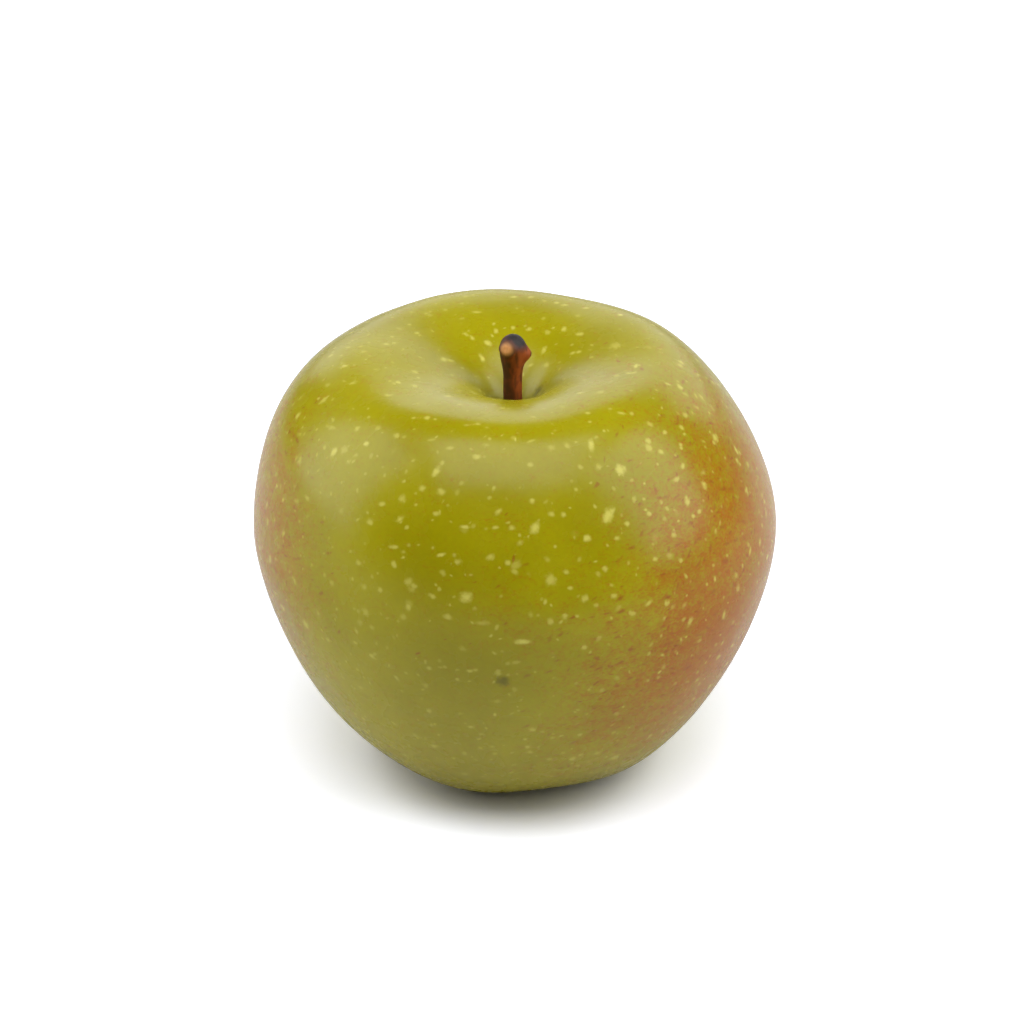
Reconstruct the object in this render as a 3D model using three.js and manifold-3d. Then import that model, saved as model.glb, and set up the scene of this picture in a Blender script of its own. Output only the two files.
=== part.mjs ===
// A whole apple as picked: one solid fruit, its woody stem, and the dried calyx in the eye underneath.
// Units are millimetres, +Z is up, and the origin is the middle of the base, on the surface it rests on.
import * as THREE from "three";
import { mergeVertices } from "three/addons/utils/BufferGeometryUtils.js";
import Module from "manifold-3d";

const { smoothstep, lerp } = THREE.MathUtils;

// Fruit: the main outline, from the stem's cavity to the eye
const WIDEST_RADIUS = 40;
const WIDEST_HEIGHT = 37.5;
const CREST_RADIUS = 21.6;
const CREST_HEIGHT = 65.5;
const BASE_RADIUS = 15;
const CAVITY_FLOOR = 53;
const BASIN_DEPTH = 9;

// Fruit: how far each curve of the outline runs along its tangent before it turns
const CAVITY_RISE = 8.5;
const CAVITY_ROLL = 8.7;
const SHOULDER_REACH = 10.7;
const SHOULDER_DROP = 9.5;
const FLANK_FALL = 10.6;
const FLANK_REACH = 13.8;
const BASE_ROLL = 6.5;
const BASIN_RISE = 3.5;

// Fruit: growth that the plain outline doesn't have
const LOBES = 5;
const LOBE_ANGLE = THREE.MathUtils.degToRad(104);
const BASE_GROOVE = 0.8;
const BASE_FLAT = 0.28;
const BASE_LOBE_HEIGHT = 16;
const CREST_WAVE = 0.22;
const RIB_SHARE = 0.004;
const SHOULDER_LEAN = -1.55;
const STEM_LEAN = -0.5;
const LEAN_TOP = 61;

// Stem: a round shaft with a swollen head, where it parted from the branch
const STEM_RADIUS = 1.42;
const STEM_TOP = 69;
const STEM_HEAD_HEIGHT = 66.8;
const STEM_FLARE_HEIGHT = 62;
const STEM_HEAD_RADIUS = 2;
const STEM_TIP_SHARE = 0.3;
const SOCKET_DEPTH = 8.5;
const SOCKET_GAP = 0.3;
const STEM_BUMPS = [
  { name: "parting scar", height: 67, angle: -2.2, rise: 0.4, up: 1.3, round: 0.7 },
  { name: "side bud", height: 65.8, angle: 0, rise: 0.9, up: 1.2, round: 0.45 },
];

// Calyx: five dried sepals on a short cup, which stands in the eye's tube
const TUBE_RADIUS = 3.4;
const TUBE_DEPTH = 5;
const CUP_RADIUS = 2.9;
const CUP_RIM_BELOW_TUBE = 0.9;
const SEPALS = 5;
const SEPAL_HALF_WIDTH = 1.45;
const SEPAL_HALF_THICKNESS = 0.36;
const SEPAL_TIP_SHARE = 0.22;
const SEPAL_ROOT = { out: 2.1, above: 1.4 };
const SEPAL_MIDDLE = { out: 2.2, above: -2.6 };
const SEPAL_TIP = { out: 4.7, above: -4.6 };

// Faceting
const FRUIT_SIDES = 70;
const OUTLINE_STEPS = 11;
const STEM_SIDES = 24;
const STEM_STEPS = 30;
const SEPAL_SIDES = 8;
const SEPAL_STEPS = 6;
const CUP_SIDES = 20;

const SOCKET_RADIUS = STEM_RADIUS + SOCKET_GAP;
const SOCKET_FLOOR = CAVITY_FLOOR - SOCKET_DEPTH;
const STEM_FOOT = SOCKET_FLOOR + SOCKET_GAP;
const STEM_LENGTH = STEM_TOP - STEM_FOOT;

const skin = new THREE.MeshStandardMaterial({ color: 0x9d9414, roughness: 0.42, metalness: 0 });
const stemBark = new THREE.MeshStandardMaterial({ color: 0x6b3015, roughness: 0.6, metalness: 0 });
const driedSepal = new THREE.MeshStandardMaterial({ color: 0x5c4630, roughness: 0.85, metalness: 0 });

const wasm = await Module();
wasm.setup();

// Moves every vertex of a geometry to the place that shape gives for it.
function reshape(geometry, shape) {
  const position = geometry.getAttribute("position");
  const vertex = new THREE.Vector3();
  for (let i = 0; i < position.count; i++) {
    shape(vertex.fromBufferAttribute(position, i));
    position.setXYZ(i, vertex.x, vertex.y, vertex.z);
  }
  geometry.computeVertexNormals();
  return geometry;
}

// A closed geometry as a solid for joining.
function solidOf(geometry) {
  const bare = geometry.clone();
  bare.deleteAttribute("normal");
  bare.deleteAttribute("uv");
  const merged = mergeVertices(bare);
  return new wasm.Manifold(
    new wasm.Mesh({
      numProp: 3,
      vertProperties: merged.getAttribute("position").array,
      triVerts: new Uint32Array(merged.index.array),
    }),
  );
}

// A joined solid back as a geometry.
function geometryOf(solid) {
  const mesh = solid.getMesh();
  const geometry = new THREE.BufferGeometry();
  geometry.setAttribute("position", new THREE.BufferAttribute(mesh.vertProperties, mesh.numProp));
  geometry.setIndex(new THREE.BufferAttribute(mesh.triVerts, 1));
  geometry.computeVertexNormals();
  return geometry;
}

// Half of the fruit's section, from the eye's tube up round the flank to the stem's socket.
function fruitOutline() {
  const outline = new THREE.Path();
  outline.moveTo(0, BASIN_DEPTH + TUBE_DEPTH);
  outline.lineTo(TUBE_RADIUS, BASIN_DEPTH + TUBE_DEPTH);
  outline.lineTo(TUBE_RADIUS, BASIN_DEPTH);
  outline.bezierCurveTo(TUBE_RADIUS, BASIN_DEPTH - BASIN_RISE, BASE_RADIUS - BASE_ROLL, 0, BASE_RADIUS, 0);
  outline.bezierCurveTo(
    BASE_RADIUS + FLANK_REACH, 0,
    WIDEST_RADIUS, WIDEST_HEIGHT - FLANK_FALL,
    WIDEST_RADIUS, WIDEST_HEIGHT,
  );
  outline.bezierCurveTo(
    WIDEST_RADIUS, WIDEST_HEIGHT + SHOULDER_DROP,
    CREST_RADIUS + SHOULDER_REACH, CREST_HEIGHT,
    CREST_RADIUS, CREST_HEIGHT,
  );
  outline.bezierCurveTo(
    CREST_RADIUS - CAVITY_ROLL, CREST_HEIGHT,
    SOCKET_RADIUS, CAVITY_FLOOR + CAVITY_RISE,
    SOCKET_RADIUS, CAVITY_FLOOR,
  );
  outline.lineTo(SOCKET_RADIUS, SOCKET_FLOOR);
  outline.lineTo(0, SOCKET_FLOOR);
  return outline.getPoints(OUTLINE_STEPS);
}

// How much of its full lean the fruit has at a height: none at its widest, all of it above the shoulders.
function leanShare(height) {
  return smoothstep(height, WIDEST_HEIGHT, LEAN_TOP);
}

// Five crowns round the eye with faint ribs above them, and shoulders that lean to one side.
// The crowns are pressed flat where the fruit stands on them, and the stem's socket leans as the stem does.
function growFruit(vertex) {
  const { x, y, z } = vertex;
  const radius = Math.hypot(x, y);
  const crown = Math.cos(LOBES * (Math.atan2(y, x) - LOBE_ANGLE));
  const outer = smoothstep(radius, SOCKET_RADIUS, CREST_RADIUS);
  const underside = smoothstep(radius, TUBE_RADIUS, BASE_RADIUS) * (1 - smoothstep(z, 0, BASE_LOBE_HEIGHT));
  const crest = outer * smoothstep(z, WIDEST_HEIGHT, CREST_HEIGHT);
  const rib = 1 + RIB_SHARE * outer * crown;
  const lean = leanShare(z) * lerp(STEM_LEAN, SHOULDER_LEAN, outer);
  const raised = underside * (BASE_GROOVE * (1 - crown) / 2 - BASE_FLAT) + crest * CREST_WAVE * crown;
  vertex.set(x * rib + lean, y * rib, Math.max(0, z + raised));
}

function makeFruit() {
  const turned = new THREE.LatheGeometry(fruitOutline(), FRUIT_SIDES).rotateX(Math.PI / 2);
  const fruit = new THREE.Mesh(reshape(turned, growFruit), skin);
  fruit.name = "fruit";
  return fruit;
}

// The stem's radius at a height and an angle round it: the shaft, its swollen head and the bumps on that.
function stemRadius(height, angle) {
  const shaft = lerp(STEM_RADIUS, STEM_HEAD_RADIUS, smoothstep(height, STEM_FLARE_HEIGHT, STEM_HEAD_HEIGHT));
  const overHead = Math.max(0, (height - STEM_HEAD_HEIGHT) / (STEM_TOP - STEM_HEAD_HEIGHT));
  const rounding = Math.sqrt(1 - (1 - STEM_TIP_SHARE ** 2) * overHead ** 2);
  const bumps = STEM_BUMPS.map((bump) => {
    const aside = Math.atan2(Math.sin(angle - bump.angle), Math.cos(angle - bump.angle));
    return bump.rise * Math.exp(-(((height - bump.height) / bump.up) ** 2) - (aside / bump.round) ** 2);
  });
  return bumps.reduce((total, rise) => total + rise, shaft) * rounding;
}

function makeStem() {
  const rod = new THREE.CylinderGeometry(1, 1, STEM_LENGTH, STEM_SIDES, STEM_STEPS).rotateX(Math.PI / 2);
  const grown = reshape(rod, (vertex) => {
    const height = vertex.z + STEM_LENGTH / 2 + STEM_FOOT;
    const radius = stemRadius(height, Math.atan2(vertex.y, vertex.x));
    vertex.set(vertex.x * radius + STEM_LEAN * leanShare(height), vertex.y * radius, height);
  });
  const stem = new THREE.Mesh(grown, stemBark);
  stem.name = "stem";
  return stem;
}

// One sepal, pointing along +X: a thin blade that hangs from the cup and curls outwards to a narrow tip.
function sepalSolid() {
  const spine = new THREE.QuadraticBezierCurve3(
    ...[SEPAL_ROOT, SEPAL_MIDDLE, SEPAL_TIP].map((place) => new THREE.Vector3(place.out, 0, place.above)),
  );
  const blade = new THREE.CylinderGeometry(1, 1, 1, SEPAL_SIDES, SEPAL_STEPS).rotateX(Math.PI / 2);
  return solidOf(
    reshape(blade, (vertex) => {
      const along = 0.5 - vertex.z;
      const centre = spine.getPoint(along);
      const down = spine.getTangent(along);
      const taper = lerp(1, SEPAL_TIP_SHARE, along ** 2);
      const outwards = vertex.x * SEPAL_HALF_THICKNESS;
      vertex.set(
        centre.x - down.z * outwards,
        vertex.y * SEPAL_HALF_WIDTH * taper,
        centre.z + down.x * outwards,
      );
    }),
  );
}

function makeCalyx() {
  const top = TUBE_DEPTH - SOCKET_GAP;
  const cup = new THREE.CylinderGeometry(CUP_RADIUS, CUP_RADIUS, top + CUP_RIM_BELOW_TUBE, CUP_SIDES);
  cup.rotateX(Math.PI / 2).translate(0, 0, (top - CUP_RIM_BELOW_TUBE) / 2);
  let joined = solidOf(cup);
  const sepal = sepalSolid();
  for (let i = 0; i < SEPALS; i++) {
    joined = joined.add(sepal.rotate([0, 0, (360 / SEPALS) * i]));
  }
  const calyx = new THREE.Mesh(geometryOf(joined), driedSepal);
  calyx.name = "calyx";
  calyx.position.set(0, 0, BASIN_DEPTH);
  calyx.rotation.z = LOBE_ANGLE;
  return calyx;
}

const apple = new THREE.Group();
apple.name = "apple";
apple.add(makeFruit(), makeStem(), makeCalyx());

export default apple;
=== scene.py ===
"""A whole apple on a pale floor: freckled waxy skin, a woody stem and the dried calyx in its eye.

Sizes are in millimetres and become metres only where a mesh, a lamp or the camera is made.
+Z is up along the stem, and the photograph is taken from the -Y side.
"""
import logging
import math
from collections.abc import Sequence
from dataclasses import dataclass
from enum import Enum

import bpy
import numpy as np
from mathutils import Matrix, Vector, noise
from mathutils.bvhtree import BVHTree


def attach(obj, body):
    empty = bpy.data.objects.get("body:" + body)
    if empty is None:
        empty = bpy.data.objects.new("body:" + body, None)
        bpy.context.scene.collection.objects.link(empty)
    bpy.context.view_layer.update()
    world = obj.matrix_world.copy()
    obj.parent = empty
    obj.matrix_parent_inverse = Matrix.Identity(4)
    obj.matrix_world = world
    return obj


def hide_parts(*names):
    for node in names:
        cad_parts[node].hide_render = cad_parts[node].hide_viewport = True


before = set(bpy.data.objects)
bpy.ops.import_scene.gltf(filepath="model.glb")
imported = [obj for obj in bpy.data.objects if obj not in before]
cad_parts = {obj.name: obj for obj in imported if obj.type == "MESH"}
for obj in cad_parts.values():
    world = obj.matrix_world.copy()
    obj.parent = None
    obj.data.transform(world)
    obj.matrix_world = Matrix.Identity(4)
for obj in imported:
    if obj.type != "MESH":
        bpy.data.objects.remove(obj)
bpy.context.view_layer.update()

MM = 0.001
FULL_TURN = 2 * math.pi
BAKE_LAYOUT = "OFBake"
BODY = "root"
CURVE_SAMPLES = 400
SEED = 11

# Where a layout's seam is, in turns from the right: at the back
SEAM_TURN = 0.25

# Vertex attributes that carry the hand-placed marks to the skin's shader
MARK_OFFSET = "mark_offset"
MARK_STRENGTH = "mark_strength"
NO_MARK = 9.0

log = logging.getLogger("apple")

Colour = tuple[float, float, float, float]
Point = tuple[float, float, float]
Span = tuple[float, float]


class Slot(Enum):
    """The names of the material slots."""

    SKIN = "skin"
    STEM_BARK = "stem_bark"
    DRIED_SEPAL = "dried_sepal"


class MarkKind(Enum):
    """What a mark on the skin is, as its strength: pale above zero and dark below."""

    BRIGHT = 1.0
    SOFT = 0.75
    FAINT = 0.5
    # dark marks: bruises, and painted shade where the stem hollow's wall lies in shadow
    BRUISE_AND_SHADE = -0.6


def smoothstep(value: np.ndarray, low: float, high: float) -> np.ndarray:
    """Rises smoothly from 0 at low to 1 at high."""
    share = np.clip((value - low) / (high - low), 0.0, 1.0)
    return share * share * (3 - 2 * share)


def bezier(points: Sequence[Sequence[float]], along: np.ndarray) -> np.ndarray:
    """Points on a Bezier curve of any degree.

    Args:
        points: The control points.
        along: The curve's parameter at each wanted point, from 0 to 1.

    Returns:
        One row for each wanted point.
    """
    degree = len(points) - 1
    weights = [math.comb(degree, i) * along**i * (1 - along) ** (degree - i) for i in range(degree + 1)]
    return np.stack(weights, axis=1) @ np.array(points, dtype=float)


def even_steps(points: Sequence[Sequence[float]], step: float) -> np.ndarray:
    """Points at even distances along a Bezier curve, without its last point.

    Args:
        points: The control points, two for a straight line.
        step: About how far apart the points are.

    Returns:
        One row for each point.
    """
    dense = bezier(points, np.linspace(0, 1, CURVE_SAMPLES))
    run = np.concatenate([[0.0], np.cumsum(np.linalg.norm(np.diff(dense, axis=0), axis=1))])
    stops = np.linspace(0, run[-1], max(2, round(run[-1] / step)) + 1)[:-1]
    return np.stack([np.interp(stops, run, column) for column in dense.T], axis=1)


class Wire:
    """One output of a shader node. Arithmetic on it adds Math nodes."""

    def __init__(self, board: "Board", socket: bpy.types.NodeSocket) -> None:
        """Keeps the socket and the board that its node is on."""
        self.board = board
        self.socket = socket

    def output(self, name: str) -> "Wire":
        """Another output of the same node, by its name."""
        return Wire(self.board, self.socket.node.outputs[name])

    def __add__(self, other: "Wire | float") -> "Wire":
        """Their sum."""
        return self.board.maths("ADD", self, other)

    def __radd__(self, other: float) -> "Wire":
        """Their sum, with the number first."""
        return self.board.maths("ADD", other, self)

    def __sub__(self, other: "Wire | float") -> "Wire":
        """Their difference."""
        return self.board.maths("SUBTRACT", self, other)

    def __rsub__(self, other: float) -> "Wire":
        """Their difference, with the number first."""
        return self.board.maths("SUBTRACT", other, self)

    def __mul__(self, other: "Wire | float") -> "Wire":
        """Their product."""
        return self.board.maths("MULTIPLY", self, other)

    def __rmul__(self, other: float) -> "Wire":
        """Their product, with the number first."""
        return self.board.maths("MULTIPLY", other, self)

    def __truediv__(self, other: "Wire | float") -> "Wire":
        """Their quotient."""
        return self.board.maths("DIVIDE", self, other)

    def __rtruediv__(self, other: float) -> "Wire":
        """Their quotient, with the number first."""
        return self.board.maths("DIVIDE", other, self)

    def __pow__(self, other: "Wire | float") -> "Wire":
        """This one raised to a power."""
        return self.board.maths("POWER", self, other)


class Board:
    """The nodes of one material, or of the world, and the ways to add to them."""

    def __init__(self, owner: bpy.types.Material | bpy.types.World) -> None:
        """Turns the owner's nodes on and clears them."""
        owner.use_nodes = True
        self.tree = owner.node_tree
        self.tree.nodes.clear()

    def add(self, kind: str, settings: dict, inputs: dict, output: int | str = 0) -> Wire | None:
        """Adds any node.

        Args:
            kind: The node's type name.
            settings: The node's own settings, which are set first.
            inputs: A number, colour or Wire for each input, by its name or index.
            output: The output that is wanted, by its name or index.

        Returns:
            The wanted output, or None where the node has no outputs.
        """
        node = self.tree.nodes.new(kind)
        for name, value in settings.items():
            setattr(node, name, value)
        for key, value in inputs.items():
            if isinstance(value, Wire):
                self.tree.links.new(value.socket, node.inputs[key])
            else:
                node.inputs[key].default_value = value
        return Wire(self, node.outputs[output]) if node.outputs else None

    def maths(self, operation: str, first: Wire | float, second: Wire | float = 0.0) -> Wire:
        """One Math node."""
        return self.add("ShaderNodeMath", {"operation": operation}, {0: first, 1: second})

    def vector(self, operation: str, *inputs: Wire | Point) -> Wire:
        """One Vector Math node whose result is a vector."""
        return self.add("ShaderNodeVectorMath", {"operation": operation}, dict(enumerate(inputs)), "Vector")

    def measure(self, operation: str, *inputs: Wire | Point) -> Wire:
        """One Vector Math node whose result is a number, such as a length."""
        return self.add("ShaderNodeVectorMath", {"operation": operation}, dict(enumerate(inputs)), "Value")

    def ease(self, value: Wire, start: float, end: float) -> Wire:
        """Goes smoothly from 0 where value is start to 1 where it is end."""
        inputs = {"Value": value, "From Min": start, "From Max": end}
        if start > end:
            inputs |= {"From Min": end, "From Max": start, "To Min": 1.0, "To Max": 0.0}
        return self.add("ShaderNodeMapRange", {"interpolation_type": "SMOOTHSTEP"}, inputs)

    def mix(self, share: Wire | float, first: Wire | Colour, second: Wire | Colour) -> Wire:
        """The first colour, with a share of the second over it."""
        return self.add("ShaderNodeMix", {"data_type": "RGBA"}, {0: share, 6: first, 7: second}, 2)

    def cloud(self, place: Wire, size: float, detail: float = 3.0) -> Wire:
        """Soft noise from 0 to 1, whose largest blots are about size millimetres across."""
        inputs = {"Vector": place, "Scale": 1 / size, "Detail": detail}
        return self.add("ShaderNodeTexNoise", {"noise_dimensions": "3D"}, inputs)

    def ripple(self, place: Wire, size: float, detail: float = 3.0) -> Wire:
        """The same noise, from -0.5 to 0.5."""
        return self.cloud(place, size, detail) - 0.5

    def place(self) -> Wire:
        """Where a point is in the piece's own frame, in millimetres."""
        metres = self.add("ShaderNodeTexCoord", {}, {}, "Object")
        return self.vector("MULTIPLY", metres, (1 / MM, 1 / MM, 1 / MM))

    def facing(self) -> Wire:
        """The surface's direction in the piece's own frame."""
        return self.add("ShaderNodeTexCoord", {}, {}, "Normal")

    def finish(self, inputs: dict) -> None:
        """Makes a Principled shader with these inputs the material's surface."""
        shader = self.add("ShaderNodeBsdfPrincipled", {}, inputs)
        self.add("ShaderNodeOutputMaterial", {}, {"Surface": shader})


@dataclass(frozen=True)
class Skin:
    """A closed skin: rings of points that are stacked between two poles, in millimetres."""

    low: Sequence[float]
    rings: np.ndarray
    high: Sequence[float]

    def points(self) -> np.ndarray:
        """Every point, from the low pole to the high one."""
        return np.vstack([self.low, self.rings.reshape(-1, 3), self.high])

    def faces(self) -> list[list[int]]:
        """The faces, each as its points' places in points()."""
        rows, columns, _ = self.rings.shape
        here = np.arange(columns)
        after = (here + 1) % columns
        first = 1 + columns * np.arange(rows)[:, None]
        below = first[:-1]
        above = first[1:]
        quads = np.stack([below + here, below + after, above + after, above + here], axis=-1)
        low = np.stack([np.zeros_like(here), 1 + after, 1 + here], axis=-1)
        pole = np.full_like(here, rows * columns + 1)
        high = np.stack([pole, first[-1] + here, first[-1] + after], axis=-1)
        return low.tolist() + quads.reshape(-1, 4).tolist() + high.tolist()

    def layout(self) -> np.ndarray:
        """Where each corner of each face lies on a flat picture: columns across it and rings up it."""
        rows, columns, _ = self.rings.shape
        here = np.arange(columns, dtype=float)
        level = np.arange(1.0, rows)[:, None] + 0 * here
        across = here + 0 * level
        low = np.stack([here + 0.5, 0 * here, here + 1, 0 * here + 1, here, 0 * here + 1], axis=-1)
        quads = np.stack(
            [across, level, across + 1, level, across + 1, level + 1, across, level + 1],
            axis=-1,
        )
        top = 0 * here + rows
        high = np.stack([here + 0.5, top + 1, here, top, here + 1, top], axis=-1)
        corners = np.concatenate([low.ravel(), quads.ravel(), high.ravel()]).reshape(-1, 2)
        return corners / (columns, rows + 1)


def mesh_of(name: str, skins: Sequence[Skin]) -> bpy.types.Mesh:
    """Makes one smooth mesh of one or more closed skins, with a layout for baking where there is one alone.

    Args:
        name: The mesh's name.
        skins: The skins, in millimetres.

    Returns:
        The mesh, in metres.
    """
    points = []
    faces = []
    for skin in skins:
        start = len(points)
        points += (skin.points() * MM).tolist()
        faces += [[start + corner for corner in face] for face in skin.faces()]
    mesh = bpy.data.meshes.new(name)
    mesh.from_pydata(points, [], faces)
    mesh.shade_smooth()
    if len(skins) == 1:
        mesh.uv_layers.new(name=BAKE_LAYOUT).data.foreach_set("uv", skins[0].layout().ravel())
    return mesh


def place_piece(
    mesh: bpy.types.Mesh, material: bpy.types.Material, node: str
) -> bpy.types.Object:
    """Puts a piece in the scene in the place of its CAD node.

    Args:
        mesh: The piece's mesh, whose name the piece takes.
        material: What it is made of.
        node: The CAD node that it stands for.

    Returns:
        The piece.
    """
    mesh.materials.append(material)
    piece = bpy.data.objects.new(mesh.name, mesh)
    bpy.context.scene.collection.objects.link(piece)
    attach(piece, BODY)
    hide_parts(node)
    return piece


@dataclass(frozen=True)
class Viewpoint:
    """Where the portrait is taken from, and which pixel of it sees which point."""

    elevation: float = math.radians(28)
    distance: float = 620.0
    aim_height: float = 37.5
    pixels_per_mm: float = 6.538
    aim_pixel_x: float = 516.0
    aim_pixel_y: float = 521.0
    image_side: float = 1024.0
    sensor: float = 36.0

    @property
    def right(self) -> Vector:
        """The direction of the picture's right."""
        return Vector((1, 0, 0))

    @property
    def up(self) -> Vector:
        """The direction of the picture's top."""
        return Vector((0, math.sin(self.elevation), math.cos(self.elevation)))

    @property
    def forward(self) -> Vector:
        """The direction that the camera looks in."""
        return Vector((0, math.cos(self.elevation), -math.sin(self.elevation)))

    def across(self, pixel_x: float, pixel_y: float) -> Vector:
        """How far a pixel is from the picture's middle, at the fruit's distance."""
        middle = self.image_side / 2
        sideways = self.right * (pixel_x - middle)
        return (sideways + self.up * (middle - pixel_y)) / self.pixels_per_mm

    def eye(self) -> Vector:
        """Where the camera stands, so that the aim lands on its pixel."""
        aim = Vector((0, 0, self.aim_height))
        return aim - self.forward * self.distance - self.across(self.aim_pixel_x, self.aim_pixel_y)

    def ray(self, pixel_x: float, pixel_y: float) -> Vector:
        """The direction in which a pixel looks."""
        return (self.forward * self.distance + self.across(pixel_x, pixel_y)).normalized()

    def build(self) -> None:
        """Makes the camera."""
        camera = bpy.data.cameras.new("portrait")
        camera.sensor_width = self.sensor
        camera.lens = self.sensor * self.distance * self.pixels_per_mm / self.image_side
        camera.clip_start = MM
        stand = bpy.data.objects.new("portrait", camera)
        turned = Matrix((self.right, self.up, -self.forward)).transposed()
        stand.matrix_world = Matrix.Translation(self.eye() * MM) @ turned.to_4x4()
        bpy.context.scene.collection.objects.link(stand)
        bpy.context.scene.camera = stand


@dataclass(frozen=True)
class Mark:
    """One mark on the skin, by the pixel that it is seen at; its turn is in degrees from level."""

    x: float
    y: float
    length: float
    width: float
    turn: float = 0.0
    kind: MarkKind = MarkKind.SOFT


LEFT_FLECKS = (
    Mark(x=334, y=452, length=1.4, width=0.9, turn=60, kind=MarkKind.BRIGHT),
    Mark(x=366, y=444, length=0.9, width=0.7, kind=MarkKind.BRIGHT),
    Mark(x=356, y=455, length=0.8, width=0.6, kind=MarkKind.FAINT),
    Mark(x=382, y=504, length=1.0, width=0.6),
    Mark(x=307, y=498, length=1.2, width=0.6, turn=-30),
    Mark(x=394, y=547, length=1.4, width=0.5),
    Mark(x=408, y=545, length=0.7, width=0.5, kind=MarkKind.FAINT),
    Mark(x=296, y=459, length=1.2, width=0.5, turn=70),
    Mark(x=333, y=427, length=2.2, width=0.25, turn=-45, kind=MarkKind.FAINT),
    Mark(x=326, y=399, length=1.6, width=0.4, turn=40),
    Mark(x=354, y=383, length=0.9, width=0.5, turn=40),
    Mark(x=391, y=395, length=0.7, width=0.6, kind=MarkKind.FAINT),
    Mark(x=275, y=559, length=0.8, width=0.35, turn=80),
    Mark(x=268, y=561, length=0.8, width=0.35, turn=80),
    Mark(x=284, y=533, length=0.8, width=0.5, turn=80),
    Mark(x=307, y=627, length=1.1, width=0.4, turn=-50),
    Mark(x=372, y=656, length=1.2, width=0.6, turn=-25),
    Mark(x=353, y=383, length=1.1, width=0.7, turn=20),
    Mark(x=388, y=395, length=0.9, width=0.8),
    Mark(x=323, y=400, length=1.6, width=0.5, turn=35),
    Mark(x=330, y=428, length=1.5, width=0.5, turn=-50),
    Mark(x=300, y=460, length=1.4, width=0.7, turn=80),
    Mark(x=283, y=533, length=1.2, width=0.7, turn=80),
    Mark(x=270, y=560, length=1.5, width=0.7, turn=80),
    Mark(x=267, y=504, length=1.1, width=0.6, turn=80),
    Mark(x=332, y=583, length=0.8, width=0.7, kind=MarkKind.FAINT),
    Mark(x=318, y=613, length=1.0, width=0.6, turn=-60, kind=MarkKind.FAINT),
    Mark(x=364, y=587, length=0.8, width=0.8, kind=MarkKind.FAINT),
    Mark(x=380, y=590, length=0.8, width=0.7),
    Mark(x=370, y=522, length=0.9, width=0.9),
    Mark(x=400, y=519, length=1.1, width=0.6, turn=30),
    Mark(x=349, y=462, length=0.8, width=0.7, kind=MarkKind.FAINT),
    Mark(x=403, y=617, length=0.8, width=0.8, kind=MarkKind.FAINT),
)
FRONT_FLECKS = (
    Mark(x=436, y=472, length=1.5, width=0.8, turn=55, kind=MarkKind.BRIGHT),
    Mark(x=436, y=514, length=0.8, width=0.6),
    Mark(x=465, y=527, length=1.0, width=0.5, kind=MarkKind.BRIGHT),
    Mark(x=441, y=555, length=1.1, width=0.5, turn=15, kind=MarkKind.BRIGHT),
    Mark(x=466, y=597, length=1.5, width=1.4, kind=MarkKind.BRIGHT),
    Mark(x=432, y=596, length=1.0, width=0.6, turn=-20),
    Mark(x=414, y=586, length=0.9, width=0.7),
    Mark(x=448, y=617, length=1.1, width=0.7, turn=-20),
    Mark(x=523, y=642, length=2.1, width=0.7, kind=MarkKind.BRIGHT),
    Mark(x=512, y=528, length=0.8, width=0.6),
    Mark(x=535, y=528, length=1.4, width=1.1, turn=50, kind=MarkKind.BRIGHT),
    Mark(x=552, y=514, length=1.0, width=0.6),
    Mark(x=608, y=516, length=2.0, width=1.3, turn=55, kind=MarkKind.BRIGHT),
    Mark(x=614, y=510, length=0.8, width=0.4, turn=60),
    Mark(x=587, y=538, length=1.0, width=0.9, kind=MarkKind.BRIGHT),
    Mark(x=617, y=538, length=0.8, width=0.6),
    Mark(x=566, y=572, length=0.8, width=0.6),
    Mark(x=586, y=598, length=0.9, width=0.7, turn=90),
    Mark(x=545, y=602, length=0.8, width=0.5, turn=80),
    Mark(x=485, y=445, length=1.0, width=0.5, kind=MarkKind.FAINT),
    Mark(x=531, y=441, length=1.2, width=0.4, turn=25, kind=MarkKind.FAINT),
    Mark(x=431, y=440, length=1.0, width=0.4, kind=MarkKind.FAINT),
    Mark(x=591, y=445, length=1.6, width=0.8, turn=95, kind=MarkKind.BRIGHT),
    Mark(x=427, y=418, length=0.8, width=0.8),
    Mark(x=448, y=396, length=0.9, width=0.7),
    Mark(x=450, y=448, length=0.9, width=0.6),
    Mark(x=477, y=457, length=1.0, width=0.8),
    Mark(x=422, y=488, length=0.9, width=0.8),
    Mark(x=441, y=492, length=1.0, width=0.9),
    Mark(x=498, y=512, length=1.0, width=0.6, turn=45),
    Mark(x=458, y=562, length=0.9, width=0.7),
    Mark(x=490, y=557, length=1.0, width=0.7, turn=30),
    Mark(x=508, y=563, length=0.8, width=0.7),
    Mark(x=443, y=573, length=0.8, width=0.8, kind=MarkKind.FAINT),
    Mark(x=483, y=623, length=1.7, width=0.6, kind=MarkKind.FAINT),
    Mark(x=563, y=515, length=0.8, width=0.7),
    Mark(x=532, y=501, length=0.8, width=0.7),
    Mark(x=520, y=543, length=0.9, width=0.6, turn=30, kind=MarkKind.FAINT),
    Mark(x=570, y=588, length=0.7, width=0.6),
    Mark(x=605, y=569, length=0.7, width=0.7),
    Mark(x=565, y=616, length=0.8, width=0.7),
    Mark(x=614, y=596, length=0.8, width=0.6),
    Mark(x=602, y=690, length=1.0, width=0.7, turn=20, kind=MarkKind.FAINT),
    Mark(x=627, y=524, length=0.8, width=0.6),
)
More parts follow.
